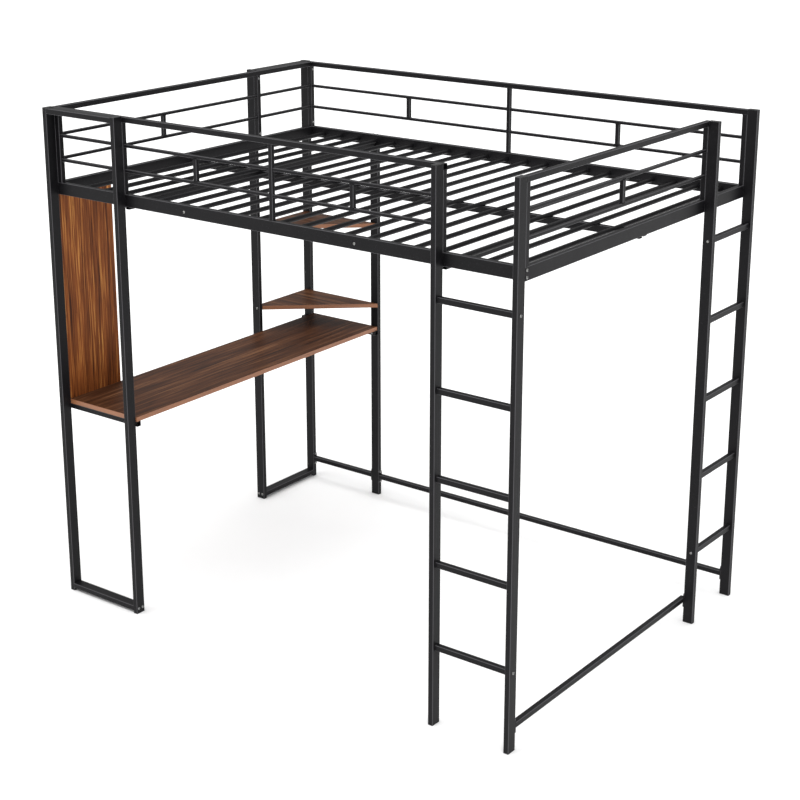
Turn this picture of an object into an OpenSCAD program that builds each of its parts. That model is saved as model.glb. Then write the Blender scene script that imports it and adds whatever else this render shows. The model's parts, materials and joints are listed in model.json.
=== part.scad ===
// Metal loft bed with a desk, corner shelves and two built-in ladders.
// The bed stands on its feet, +Z up, with the origin on the floor under the middle of its outline.

/* [Bed frame] */
// Length of the bed frame over its end rails
bed_l = 1964; // [1560:1:2400]
// Width of the bed frame over its side rails
bed_w = 1410; // [1120:1:1720]
// Height of the underside of the bed rails
rail_z = 1511; // [1240:1:1560]
// Height of a bed rail
rail_h = 43; // [34:1:60]
// Diameter of a slat tube
slat_d = 16; // [12:1:18]
// Number of slats
slat_n = 21; // [12:1:24]
// Distance from the frame's end to the first slat's axis
slat_end = 85; // [60:1:110]
// Depth of the slats' axis under the top of the bed rails
slat_drop = 24; // [20:1:28]
// How far the support beams hang below the bed rails
beam_drop = 14.5; // [14:0.5:20]

/* [Posts and tubes] */
// Overall height of the posts
frame_h = 1821; // [1700:1:2200]
// Wide side of a post
post_w = 38; // [32:1:48]
// Narrow side of a post, and the side of every square tube
tube = 19; // [16:1:23]
// Wall of the steel tubes
wall = 1.2; // [0.8:0.1:1.6]
// Corner radius of the tubes
tube_r = 2; // [1:0.25:3]
// Thickness of a plastic cap outside its tube
cap_t = 2; // [1:0.5:4]
// Length of a cap's plug inside its tube
plug_l = 14; // [8:1:25]

/* [Leg frames and ladders] */
// Width of a leg frame over its two posts
leg_w = 350; // [280:1:420]
// Height of the underside of a leg frame's bottom bar
leg_bar_z = 10; // [8:1:40]
// Width of a ladder over its two posts
ladder_w = 308; // [250:1:380]
// Number of rungs in a ladder
rung_n = 5; // [3:1:6]
// Height of the underside of the lowest rung
rung_z = 264; // [200:1:320]
// Height of the bed rails' underside above the highest rung's
rung_drop = 107; // [60:1:160]

/* [Guards] */
// Side of the thin guard bars
bar = 11; // [8:1:14]
// Width of the guard pickets
picket = 15; // [11:1:18]

/* [Floor rails] */
// Height of the underside of the floor rails
floor_rail_z = 72; // [60:1:150]
// Height of the plate at a floor rail's end
flange_h = 56; // [50:1:80]
// Thickness of the welded plates and tabs
plate_t = 3; // [2:0.5:4]

/* [Desk and shelves] */
// Height of the desk top's surface
desk_z = 750; // [640:1:820]
// How far the desk top stands out past the front leg frame
desk_over = 5; // [0:1:20]
// Thickness of the boards
board_t = 16; // [12:1:20]
// Thickness of the edge banding
band_t = 1; // [0.5:0.25:2]
// Thickness of the side panel
panel_t = 15; // [12:1:20]
// Length of the side panel along the desk
panel_w = 254; // [200:1:320]
// Gap between the side panel's top edge and the bed rail
panel_gap = 1; // [0:1:200]
// Height of the lower shelf's surface above the desk's
shelf_low_up = 100; // [80:1:200]
// Height of the upper shelf's surface above the lower one's
shelf_high_up = 340; // [250:1:360]
// How far the shelves reach in between the posts of the leg frame
shelf_inset = 25; // [15:1:32]

/* [Bolts] */
// Diameter of a bolt's shank
bolt_d = 6; // [5:0.5:8]
// Diameter of a bolt's head
head_d = 10.5; // [9:0.5:14]
// Height of a bolt's head
head_h = 3; // [2:0.5:5]
// Clearance round a bolt in its hole
bolt_gap = 0.25; // [0.1:0.05:0.5]
// Length of a threaded insert in a board
insert_l = 20; // [12:1:30]
// Clearance between a slat or rung and the peg inside it
peg_gap = 0.2; // [0.1:0.05:0.5]
// Clearance between the slats and the beams under them
slat_seat = 0.2; // [0.1:0.1:1]

/* [Hidden] */
$fn = 32;

steel = "#2b2b2e";
plastic = "#18181a";
zinc = "#b9bbbf";
walnut = "#6b4630";
banding = "#9a6a43";

// The outline, from the outer corner of the front left post's foot
deep = post_w + bed_w;
left_x = -post_w;
right_x = bed_l + post_w;
rail_top = rail_z + rail_h;
tube_top = frame_h - cap_t;
guard_z = tube_top - tube;
inner_front = post_w + tube;
inner_back = deep - tube;
half = tube / 2;

// Places of the posts' near faces
desk_post_x = leg_w - tube;
ladder_post_x = bed_l - ladder_w;
ladder_post_y = deep - ladder_w;
shelf_post_y = deep - leg_w;
back_desk_x = leg_w - half - post_w / 2;

// Slats and the beams under them
slat_pitch = (bed_l - 2 * slat_end) / (slat_n - 1);
slat_z = rail_top - slat_drop;
beam_z = rail_z - beam_drop;
beam_h = slat_z - slat_d / 2 - slat_seat - beam_z;
middle_y = post_w + bed_w / 2 - half;
first_bolted_share = 0.3;
bolted_apart_share = 0.38;
first_bolted = round(slat_n * first_bolted_share);
bolted_slats = [first_bolted, first_bolted + round(slat_n * bolted_apart_share)];
slat_wall = 1;

// Desk
desk_under = desk_z - board_t;
bar_z = desk_under - tube;
desk_right = leg_w + desk_over;
panel_top = rail_z - panel_gap;
shelf_low_z = desk_z + shelf_low_up;
shelf_high_z = shelf_low_z + shelf_high_up;
rung_pitch = (rail_z - rung_drop - rung_z) / (rung_n - 1);

// Fasteners
nut_h = 5;
nut_d = 11;
plug_bolt = 10;
thread_past = 1;
socket_d = head_d / 2.6;
socket_deep = head_h * 0.6;
peg_l = 15;
end_plug_l = 12;
insert_d = 10;
panel_bolt_in = 55;
panel_peg_in = 20;
desk_screw_in = 60;
screw_l = 11;
shelf_bolt_in = 7;
post_bolt_drop = 9;
crossing_step = 30;
tab_back = 1;
bolt_spread = post_w / 4;
rail_bolt_spread = rail_h / 4;
guard_bolt_top = guard_z - 12;
guard_bolt_low = rail_top + 15;
side_bolt_step = 22;

module in_frame() translate([-(left_x + right_x) / 2, -deep / 2, 0]) children();

// Points of a rectangle with rounded corners
function rounded(a, b, r, n = 3) = [
  for (c = [[a - r, b - r, 0], [r, b - r, 90], [r, r, 180], [a - r, r, 270]])
    for (i = [0:n]) [c[0] + r * cos(c[2] + 90 * i / n), c[1] + r * sin(c[2] + 90 * i / n)]];

module section(a, b, w) {
  difference() {
    polygon(rounded(a, b, tube_r));
    if (w > 0) translate([w, w]) square([a - 2 * w, b - 2 * w]);
  }
}

// A bar of size s with its low corner at p, run along one axis; w = 0 makes it solid
module bar_along(axis, p, s, w = wall) {
  translate(p) {
    if (axis == "x") rotate([90, 0, 90]) linear_extrude(s[0]) section(s[1], s[2], w);
    if (axis == "y") translate([0, s[1], 0]) rotate([90, 0, 0]) linear_extrude(s[1]) section(s[0], s[2], w);
    if (axis == "z") linear_extrude(s[2]) section(s[0], s[1], w);
  }
}

function turn(d) = d == "+x" ? [0, 90, 0] : d == "-x" ? [0, -90, 0] : d == "+y" ? [-90, 0, 0]
  : d == "-y" ? [90, 0, 0] : d == "-z" ? [180, 0, 0] : [0, 0, 0];

// Every bolt is [point under its head, direction of its shank, grip, what it ends in]
module bolt(b) {
  past = b[3] == "nut" ? nut_h + thread_past : b[3] == "plug" ? plug_bolt : insert_l - 2 * thread_past;
  translate(b[0]) rotate(turn(b[1])) {
    difference() {
      translate([0, 0, -head_h]) cylinder(d = head_d, h = head_h);
      translate([0, 0, -head_h - 1]) cylinder(d = socket_d, h = socket_deep + 1, $fn = 6);
    }
    cylinder(d = bolt_d, h = b[2] + past);
  }
}

module bolt_holes(bolts) {
  for (b = bolts)
    translate(b[0]) rotate(turn(b[1])) translate([0, 0, -0.5])
      cylinder(d = bolt_d + 2 * bolt_gap, h = b[2] + 0.5);
}

module deep_holes(bolts) {
  for (b = bolts)
    translate(b[0]) rotate(turn(b[1])) translate([0, 0, b[2] - 1]) cylinder(d = insert_d, h = insert_l + 1);
}

module nut(b) {
  translate(b[0]) rotate(turn(b[1])) translate([0, 0, b[2]]) difference() {
    cylinder(d = nut_d, h = nut_h, $fn = 6);
    translate([0, 0, -1]) cylinder(d = bolt_d, h = nut_h + 2);
  }
}

module insert(b) {
  translate(b[0]) rotate(turn(b[1])) translate([0, 0, b[2]]) difference() {
    cylinder(d = insert_d, h = insert_l);
    translate([0, 0, -1]) cylinder(d = bolt_d, h = insert_l - 1);
  }
}

// Bolts of the leg frames' bottom bars, two at each end
leg_bolts = [
  for (s = [-1, 1]) [[0, post_w / 2 + s * bolt_spread, leg_bar_z + half], "+x", tube, "plug"],
  for (s = [-1, 1]) [[leg_w, post_w / 2 + s * bolt_spread, leg_bar_z + half], "-x", tube, "plug"],
  for (s = [-1, 1]) [[left_x / 2 + s * bolt_spread, shelf_post_y, leg_bar_z + half], "+y", tube, "plug"],
  for (s = [-1, 1]) [[left_x / 2 + s * bolt_spread, deep, leg_bar_z + half], "-y", tube, "plug"]];

// Bolts through the end rails and the back rail into the rails that meet them
rail_mid = rail_z + rail_h / 2;
corner_bolts = [
  for (s = [-1, 1]) [[0, post_w + half, rail_mid + s * rail_bolt_spread], "+x", tube, "plug"],
  for (s = [-1, 1]) [[bed_l, post_w + half, rail_mid + s * rail_bolt_spread], "-x", tube, "plug"],
  for (x = [half, bed_l - half], s = [-1, 1]) [[x, deep, rail_mid + s * rail_bolt_spread], "-y", tube, "plug"]];

// Bolts from the inside of the bed rails into the posts that stand beside them
post_bolt_z = rail_top - post_bolt_drop;
post_bolts = [
  [[desk_post_x + half, inner_front, post_bolt_z], "-y", tube + wall, "nut"],
  [[ladder_post_x + half, inner_front, post_bolt_z], "-y", tube + wall, "nut"],
  [[bed_l - tube, ladder_post_y + half, post_bolt_z], "+x", tube + wall, "nut"],
  [[tube, shelf_post_y + half, post_bolt_z], "-x", tube + wall, "nut"]];

// Bolts down through the back rail into the top of the back desk post
stand_bolts = [for (s = [-1, 1])
  [[leg_w - half + s * bolt_spread, deep - half, rail_top], "-z", rail_h, "nut"]];

// Bolts up through the beams' tabs into the bed rails, and one through the back desk post
beam_x = [leg_w - half, ladder_post_x + half];
tab_z = rail_z - plate_t;
tab_grip = plate_t + wall;
tab_bolts = [
  for (x = beam_x) [[x, post_w + half, tab_z], "+z", tab_grip, "nut"],
  [[beam_x[1], deep - half, tab_z], "+z", tab_grip, "nut"],
  for (x = [half, bed_l - half]) [[x, middle_y + half, tab_z], "+z", tab_grip, "nut"]];
beam_post_bolt = [[[beam_x[0], deep, beam_z + wall + bolt_d / 2 + thread_past], "-y", tube, "plug"]];

// Bolts up through the crossing plates into the centre rail and the cross beams
cross_bolts = [for (x = beam_x, s = [-1, 0, 1])
  [[x + s * crossing_step, middle_y + half, beam_z - plate_t], "+z", tab_grip, "nut"]];

// Bolts through the side rails into two of the slats
slat_bolts = [
  for (k = bolted_slats) [[slat_end + k * slat_pitch, post_w, slat_z], "+y", tube, "plug"],
  for (k = bolted_slats) [[slat_end + k * slat_pitch, deep, slat_z], "-y", tube, "plug"]];

// Bolts of the floor rails' end plates: above and below the rail
flange_mid = floor_rail_z + half;
flange_step = flange_h / 2 - head_d / 2 - 2;
function flange_pair(x, y, d) = [for (s = [-1, 1])
  [[x, y, flange_mid + s * flange_step], d, plate_t + wall, "nut"]];
floor_bolts = [
  for (b = flange_pair(plate_t, deep - half, "-x")) b,
  for (b = flange_pair(back_desk_x - plate_t, deep - half, "+x")) b,
  for (b = flange_pair(bed_l - plate_t, deep - half, "+x")) b,
  for (b = flange_pair(bed_l - half, post_w + plate_t, "-y")) b,
  for (b = flange_pair(bed_l - plate_t, ladder_post_y + half, "+x")) b];
through_bolts = [for (s = [-1, 1])
  [[back_desk_x + post_w + plate_t, deep - half, flange_mid + s * flange_step], "-x", plate_t + wall, "nut"]];

// Bolts of the guards, heads to the inside, but to the outside where the front and left guards are tied
guard_heights = [guard_bolt_low, guard_bolt_top];
front_guard_bolts = [
  for (z = guard_heights, x = [desk_post_x + half, ladder_post_x + half])
    [[x, inner_front, z], "-y", tube + wall, "nut"]];
front_tie_bolts = [for (z = [guard_bolt_low + side_bolt_step, guard_bolt_top - side_bolt_step])
  [[0, post_w + half, z], "+x", tube + wall, "nut"]];
left_guard_bolts = [
  for (z = guard_heights) [[half, inner_front, z], "-y", tube + wall, "nut"],
  for (z = guard_heights) [[tube, shelf_post_y + half, z], "-x", tube + wall, "nut"]];
back_guard_bolts = [
  for (z = guard_heights) [[tube, deep - half, z], "-x", tube + wall, "nut"],
  for (z = guard_heights) [[bed_l - tube, deep - half, z], "+x", tube + wall, "nut"]];
back_tie_bolt = [[[half, deep, guard_z + half], "-y", tube, "plug"]];
right_guard_bolts = [
  for (z = guard_heights) [[bed_l - half, inner_front, z], "-y", tube + wall, "nut"],
  for (z = guard_heights) [[bed_l - tube, ladder_post_y + half, z], "+x", tube + wall, "nut"]];

// Bolts of the ladders' top and bottom rungs
rung_ends = [rung_z + half, rung_z + half + (rung_n - 1) * rung_pitch];
front_rung_bolts = [
  for (z = rung_ends) [[ladder_post_x, post_w / 2, z], "+x", tube, "plug"],
  for (z = rung_ends) [[bed_l, post_w / 2, z], "-x", tube, "plug"]];
right_rung_bolts = [
  for (z = rung_ends) [[bed_l + post_w / 2, ladder_post_y, z], "+y", tube, "plug"],
  for (z = rung_ends) [[bed_l + post_w / 2, deep, z], "-y", tube, "plug"]];

// Bolts of the desk bars into the posts, and of the boards into their edges and undersides
bar_bolts_front = [for (x = [half, desk_post_x + half])
  [[x, inner_front, bar_z + half], "-y", tube + wall, "nut"]];
bar_bolts_back = [for (x = [left_x / 2, beam_x[0]])
  [[x, inner_back - tube, bar_z + half], "+y", tube + wall, "nut"]];
desk_screws = [for (x = [panel_t + desk_screw_in, desk_right - desk_screw_in],
                    y = [post_w + half, inner_back - half])
  [[x, y, bar_z], "+z", tube, "screw"]];
panel_desk_bolts = [for (y = [post_w + panel_bolt_in, post_w + panel_w - panel_bolt_in])
  [[0, y, desk_z - board_t / 2], "+x", panel_t, "insert"]];
function shelf_bolts(z) = [
  [[-shelf_inset / 2, shelf_post_y, z - board_t / 2], "+y", tube, "insert"],
  [[-shelf_inset / 2, deep, z - board_t / 2], "-y", tube, "insert"],
  [[back_desk_x + shelf_bolt_in, deep, z - board_t / 2], "-y", tube, "insert"]];
shelf_levels = [shelf_low_z, shelf_high_z];

// Posts

module post(x, y, sx, sy, bolts, top = tube_top) {
  color(steel) difference() {
    bar_along("z", [x, y, cap_t], [sx, sy, top - cap_t]);
    bolt_holes(bolts);
  }
}

module post_front_left() {
  post(0, 0, tube, post_w, [leg_bolts[0], leg_bolts[1], bar_bolts_front[0],
    left_guard_bolts[0], left_guard_bolts[1]]);
}

module post_front_desk() {
  post(desk_post_x, 0, tube, post_w, concat([leg_bolts[2], leg_bolts[3]], [post_bolts[0]],
    [bar_bolts_front[1]], [front_guard_bolts[0], front_guard_bolts[2]]));
}

module post_front_ladder() {
  post(ladder_post_x, 0, tube, post_w, concat([post_bolts[1]],
    [front_guard_bolts[1], front_guard_bolts[3]], [front_rung_bolts[0], front_rung_bolts[1]]));
}

module post_front_right() {
  post(bed_l - tube, 0, tube, post_w, concat([front_rung_bolts[2], front_rung_bolts[3]],
    [floor_bolts[6], floor_bolts[7]], [right_guard_bolts[0], right_guard_bolts[1]]));
}

module post_right_ladder() {
  post(bed_l, ladder_post_y, post_w, tube, concat([post_bolts[2]],
    [right_guard_bolts[2], right_guard_bolts[3]], [floor_bolts[8], floor_bolts[9]],
    [right_rung_bolts[0], right_rung_bolts[1]]));
}

module post_back_right() {
  post(bed_l, inner_back, post_w, tube, concat([back_guard_bolts[2], back_guard_bolts[3]],
    [floor_bolts[4], floor_bolts[5]], [right_rung_bolts[2], right_rung_bolts[3]]));
}

module post_left_shelf() {
  post(left_x, shelf_post_y, post_w, tube, concat([leg_bolts[4], leg_bolts[5]], [post_bolts[3]],
    [left_guard_bolts[2], left_guard_bolts[3]],
    [for (z = shelf_levels) shelf_bolts(z)[0]]));
}

module post_back_left() {
  post(left_x, inner_back, post_w, tube, concat([leg_bolts[6], leg_bolts[7]],
    [back_guard_bolts[0], back_guard_bolts[1]], [floor_bolts[0], floor_bolts[1]],
    [bar_bolts_back[0]], [for (z = shelf_levels) shelf_bolts(z)[1]]));
}

module post_back_desk() {
  post(back_desk_x, inner_back, post_w, tube, concat(beam_post_bolt,
    [floor_bolts[2], floor_bolts[3]], through_bolts, [bar_bolts_back[1]],
    [for (z = shelf_levels) shelf_bolts(z)[2]]), rail_z);
}

// Leg frames: a top rail and a bottom bar, both laid flat between two posts

module front_leg_top_rail() {
  color(steel) bar_along("x", [tube, 0, guard_z], [desk_post_x - tube, post_w, tube]);
}

module front_leg_bottom_bar() {
  color(steel) bar_along("x", [tube, 0, leg_bar_z], [desk_post_x - tube, post_w, tube]);
}

module left_leg_top_rail() {
  color(steel) bar_along("y", [left_x, shelf_post_y + tube, guard_z], [post_w, leg_w - 2 * tube, tube]);
}

module left_leg_bottom_bar() {
  color(steel) bar_along("y", [left_x, shelf_post_y + tube, leg_bar_z], [post_w, leg_w - 2 * tube, tube]);
}

// Bed rails

module bed_rail_front() {
  color(steel) difference() {
    bar_along("x", [tube, post_w, rail_z], [bed_l - 2 * tube, tube, rail_h]);
    bolt_holes(concat([post_bolts[0], post_bolts[1]], [tab_bolts[0], tab_bolts[1]],
      [slat_bolts[0], slat_bolts[1]]));
  }
}

module bed_rail_back() {
  color(steel) difference() {
    bar_along("x", [0, inner_back, rail_z], [bed_l, tube, rail_h]);
    bolt_holes(concat([for (i = [4:7]) corner_bolts[i]], stand_bolts, [tab_bolts[2]],
      [slat_bolts[2], slat_bolts[3]]));
  }
}

module bed_rail_left() {
  color(steel) difference() {
    bar_along("y", [0, post_w, rail_z], [tube, inner_back - post_w, rail_h]);
    bolt_holes(concat([corner_bolts[0], corner_bolts[1]], [post_bolts[3]], [tab_bolts[3]]));
  }
}

module bed_rail_right() {
  color(steel) difference() {
    bar_along("y", [bed_l - tube, post_w, rail_z], [tube, inner_back - post_w, rail_h]);
    bolt_holes(concat([corner_bolts[2], corner_bolts[3]], [post_bolts[2]], [tab_bolts[4]]));
  }
}

// Slats and the beams under them

module centre_stretch(x0, x1) {
  color(steel) difference() {
    bar_along("x", [x0, middle_y, beam_z], [x1 - x0, tube, beam_h]);
    bolt_holes(cross_bolts);
  }
}

module centre_rail_left() centre_stretch(tube, desk_post_x);

module centre_rail_middle() centre_stretch(leg_w, ladder_post_x);

module centre_rail_right() centre_stretch(ladder_post_x + tube, bed_l - tube);

module cross_beam(i) {
  color(steel) difference() {
    bar_along("y", [beam_x[i] - half, inner_front, beam_z], [tube, inner_back - inner_front, beam_h]);
    bolt_holes([cross_bolts[3 * i + 1]]);
  }
}

module cross_beam_left() cross_beam(0);

module cross_beam_right() cross_beam(1);

// Flat tabs welded to the beams' ends, under the bed rails
module beam_tabs() {
  tab_w = tube - 2 * tab_back;
  tab_l = tube - tab_back;
  color(steel) difference() {
    for (p = [[beam_x[0] - tab_w / 2, post_w + tab_back, tab_w],
              [beam_x[1] - tab_w / 2, post_w + tab_back, tab_w],
              [beam_x[1] - tab_w / 2, inner_back, tab_w],
              [tab_back, middle_y + tab_back, tab_l],
              [bed_l - tube, middle_y + tab_back, tab_w]])
      translate([p[0], p[1], tab_z]) cube([p[2], tab_l, plate_t]);
    bolt_holes(tab_bolts);
  }
}

module crossing_plates() {
  plate_l = 2 * crossing_step + post_w;
  color(steel) difference() {
    for (x = beam_x) translate([x - plate_l / 2, middle_y, beam_z - plate_t]) cube([plate_l, tube, plate_t]);
    bolt_holes(cross_bolts);
  }
}

module slats() {
  color(steel) for (k = [0:slat_n - 1])
    translate([slat_end + k * slat_pitch, inner_back, slat_z]) rotate([90, 0, 0]) difference() {
      cylinder(d = slat_d, h = inner_back - inner_front);
      translate([0, 0, -1]) cylinder(d = slat_d - 2 * slat_wall, h = inner_back - inner_front + 2);
    }
}

// Guards: a square top rail on uprights, two thin bars, and pickets

upright_h = guard_z - rail_top;
bar_gap = (upright_h - 2 * bar) / 3;
lower_z = rail_top + bar_gap;
upper_z = lower_z + bar + bar_gap;

module upright(x, y, sx, sy) bar_along("z", [x, y, rail_top], [sx, sy, upright_h]);

module short_picket(x, y, sx, sy) bar_along("z", [x, y, lower_z + bar], [sx, sy, upper_z - lower_z - bar]);

// Thin bars in the stretches between the stops of a guard that runs along X
module bars_x(y, stops) {
  for (s = stops, z = [lower_z, upper_z])
    bar_along("x", [s[0], y + (tube - bar) / 2, z], [s[1] - s[0], bar, bar]);
}

module bars_y(x, stops) {
  for (s = stops, z = [lower_z, upper_z])
    bar_along("y", [x + (tube - bar) / 2, s[0], z], [bar, s[1] - s[0], bar]);
}

front_mid = (leg_w + ladder_post_x) / 2;
back_mid = bed_l / 2;

module front_guard_top_rail() {
  color(steel) bar_along("x", [tube, post_w, guard_z], [ladder_post_x, tube, tube]);
}

module front_guard_uprights() {
  color(steel) {
    difference() {
      for (x = [tube, desk_post_x, ladder_post_x]) upright(x, post_w, tube, tube);
      bolt_holes(concat(front_guard_bolts, front_tie_bolts));
    }
    upright(front_mid - picket / 2, post_w + (tube - picket) / 2, picket, picket);
    for (x = [(leg_w + front_mid) / 2, (front_mid + ladder_post_x) / 2])
      short_picket(x - picket / 2, post_w + (tube - picket) / 2, picket, picket);
  }
}

module front_guard_bars() {
  color(steel) bars_x(post_w, [[2 * tube, desk_post_x], [leg_w, front_mid - picket / 2],
    [front_mid + picket / 2, ladder_post_x]]);
}

module back_guard_top_rail() {
  color(steel) difference() {
    bar_along("x", [0, inner_back, guard_z], [bed_l, tube, tube]);
    bolt_holes(back_tie_bolt);
  }
}

module back_guard_uprights() {
  color(steel) {
    difference() {
      for (x = [0, bed_l - tube]) upright(x, inner_back, tube, tube);
      bolt_holes(back_guard_bolts);
    }
    upright(back_mid - picket / 2, inner_back + (tube - picket) / 2, picket, picket);
    for (x = [(post_w + back_mid) / 2, bed_l - (post_w + back_mid) / 2])
      short_picket(x - picket / 2, inner_back + (tube - picket) / 2, picket, picket);
  }
}

module back_guard_bars() {
  color(steel) bars_x(inner_back, [[tube, back_mid - picket / 2], [back_mid + picket / 2, bed_l - tube]]);
}

module left_guard_top_rail() {
  color(steel) bar_along("y", [0, post_w, guard_z], [tube, inner_back - post_w, tube]);
}

module left_guard_uprights() {
  color(steel) {
    difference() {
      for (y = [post_w, shelf_post_y]) upright(0, y, tube, tube);
      bolt_holes(concat(left_guard_bolts, front_tie_bolts));
    }
    short_picket((tube - picket) / 2, (inner_front + shelf_post_y - picket) / 2, picket, picket);
  }
}

module left_guard_bars() {
  color(steel) bars_y(0, [[inner_front, shelf_post_y], [shelf_post_y + tube, inner_back]]);
}

module right_guard_top_rail() {
  color(steel) bar_along("y", [bed_l - tube, post_w, guard_z], [tube, ladder_post_y + tube - post_w, tube]);
}

module right_guard_uprights() {
  color(steel) {
    difference() {
      for (y = [post_w, ladder_post_y]) upright(bed_l - tube, y, tube, tube);
      bolt_holes(right_guard_bolts);
    }
    short_picket(bed_l - tube + (tube - picket) / 2, (inner_front + ladder_post_y - picket) / 2, picket, picket);
  }
}

module right_guard_bars() {
  color(steel) bars_y(bed_l - tube, [[inner_front, ladder_post_y]]);
}

// Ladders

module front_ladder_rungs() {
  color(steel) for (k = [0:rung_n - 1])
    bar_along("x", [ladder_post_x + tube, (post_w - tube) / 2, rung_z + k * rung_pitch],
      [ladder_w - 2 * tube, tube, tube]);
}

module right_ladder_rungs() {
  color(steel) for (k = [0:rung_n - 1])
    bar_along("y", [bed_l + (post_w - tube) / 2, ladder_post_y + tube, rung_z + k * rung_pitch],
      [tube, ladder_w - 2 * tube, tube]);
}

// Floor rails with a plate welded to each end

module floor_rail_back_left() {
  color(steel) bar_along("x", [plate_t, inner_back, floor_rail_z],
    [back_desk_x - 2 * plate_t, tube, tube]);
}

module floor_rail_back_right() {
  x0 = back_desk_x + post_w + plate_t;
  color(steel) bar_along("x", [x0, inner_back, floor_rail_z], [bed_l - plate_t - x0, tube, tube]);
}

module floor_rail_right() {
  color(steel) bar_along("y", [bed_l - plate_t - tube, post_w + plate_t, floor_rail_z],
    [tube, ladder_post_y + tube - post_w - plate_t, tube]);
}

// A plate with round ends, standing on edge, its back against a post
module flange(x, y, along) {
  translate([x, y, flange_mid]) rotate(along == "x" ? [90, 0, 90] : [90, 0, 180])
    linear_extrude(plate_t) union() {
      square([tube, flange_h - tube], center = true);
      for (s = [-1, 1]) translate([0, s * (flange_h - tube) / 2]) circle(d = tube);
    }
}

module floor_rail_flanges() {
  color(steel) difference() {
    union() {
      for (x = [0, back_desk_x - plate_t, back_desk_x + post_w, bed_l - plate_t])
        flange(x, deep - half, "x");
      flange(bed_l - half, post_w, "y");
      flange(bed_l - plate_t, ladder_post_y + half, "x");
    }
    bolt_holes(concat(floor_bolts, through_bolts));
  }
}

// Desk, side panel and corner shelves

module desk_top() {
  color(walnut) difference() {
    translate([panel_t, post_w + band_t, desk_under])
      cube([desk_right - panel_t - band_t, inner_back - post_w - band_t, board_t]);
    for (b = desk_screws) translate(b[0]) cylinder(d = bolt_d - 1, h = tube + screw_l);
    deep_holes(panel_desk_bolts);
  }
}

module desk_bar_front() {
  color(steel) difference() {
    bar_along("x", [0, post_w, bar_z], [desk_right, tube, tube]);
    bolt_holes(concat(bar_bolts_front, desk_screws));
  }
}

module desk_bar_back() {
  color(steel) difference() {
    bar_along("x", [left_x, inner_back - tube, bar_z], [back_desk_x + post_w - left_x, tube, tube]);
    bolt_holes(concat(bar_bolts_back, desk_screws));
  }
}

// Two pegs welded under the left bed rail, which the panel's top edge slips over
module panel_pegs(d, deeper = 0, past = 0) {
  for (y = [post_w + panel_bolt_in, post_w + panel_w - panel_bolt_in])
    translate([panel_t / 2, y, panel_top - panel_peg_in - deeper])
      cylinder(d = d, h = deeper + panel_peg_in + panel_gap + past);
}

module side_panel() {
  color(walnut) difference() {
    translate([0, post_w, desk_under])
      cube([panel_t, panel_w, panel_top - desk_under]);
    bolt_holes(panel_desk_bolts);
    panel_pegs(bolt_d + 2 * peg_gap, peg_gap, 1);
  }
}

shelf_tip_x = back_desk_x + post_w;

module shelf(z) {
  color(walnut) difference() {
    translate([0, 0, z - board_t]) linear_extrude(board_t)
      polygon([[-shelf_inset, shelf_post_y + tube], [0, shelf_post_y + tube],
        [shelf_tip_x, inner_back], [-shelf_inset, inner_back]]);
    deep_holes(shelf_bolts(z));
  }
}

module shelf_lower() shelf(shelf_low_z);

module shelf_upper() shelf(shelf_high_z);

// Thin banding on the desk's front and near edges and on the shelves' long edges
module edge_bands() {
  run = inner_back - shelf_post_y - tube;
  lean = atan2(run, shelf_tip_x);
  color(banding) {
    translate([panel_t, post_w, desk_under]) cube([desk_right - panel_t, band_t, board_t]);
    translate([desk_right - band_t, post_w + band_t, desk_under])
      cube([band_t, inner_back - post_w - band_t, board_t]);
    for (z = shelf_levels) translate([0, shelf_post_y + tube, z - board_t]) rotate([0, 0, lean])
      translate([0, -band_t, 0]) cube([norm([shelf_tip_x, run]) - 2 * band_t, band_t, board_t]);
  }
}

// Caps on the posts: a rim on the tube and a plug inside it

posts = [[0, 0, tube, post_w], [desk_post_x, 0, tube, post_w], [ladder_post_x, 0, tube, post_w],
  [bed_l - tube, 0, tube, post_w], [bed_l, ladder_post_y, post_w, tube], [bed_l, inner_back, post_w, tube],
  [left_x, shelf_post_y, post_w, tube], [left_x, inner_back, post_w, tube],
  [back_desk_x, inner_back, post_w, tube]];
foot_plug = min(plug_l, leg_bar_z + half - bolt_d - cap_t);

module post_top_caps() {
  color(plastic) for (i = [0:7]) {
    q = posts[i];
    translate([q[0], q[1], tube_top]) linear_extrude(cap_t) polygon(rounded(q[2], q[3], tube_r));
    translate([q[0] + wall, q[1] + wall, tube_top - plug_l]) cube([q[2] - 2 * wall, q[3] - 2 * wall, plug_l]);
  }
}

module post_foot_caps() {
  color(plastic) for (q = posts) {
    translate([q[0], q[1], 0]) linear_extrude(cap_t) polygon(rounded(q[2], q[3], tube_r));
    translate([q[0] + wall, q[1] + wall, cap_t]) cube([q[2] - 2 * wall, q[3] - 2 * wall, foot_plug]);
  }
}

// Pegs welded to the rails and the ladder posts, which the slats, the middle rungs and the panel slip over
module tube_pegs() {
  peg_d = slat_d - 2 * slat_wall - 2 * peg_gap;
  peg_w = tube - 2 * wall - 2 * peg_gap;
  color(steel) {
    for (k = [0:slat_n - 1]) if (k != bolted_slats[0] && k != bolted_slats[1])
      for (y = [inner_front, inner_back - peg_l])
        translate([slat_end + k * slat_pitch, y, slat_z]) rotate([-90, 0, 0]) cylinder(d = peg_d, h = peg_l);
    for (k = [1:rung_n - 2]) {
      z = rung_z + k * rung_pitch + (tube - peg_w) / 2;
      for (x = [ladder_post_x + tube, bed_l - tube - peg_l])
        translate([x, (post_w - peg_w) / 2, z]) cube([peg_l, peg_w, peg_w]);
      for (y = [ladder_post_y + tube, inner_back - peg_l])
        translate([bed_l + (post_w - peg_w) / 2, y, z]) cube([peg_w, peg_l, peg_w]);
    }
    panel_pegs(bolt_d);
  }
}

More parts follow.
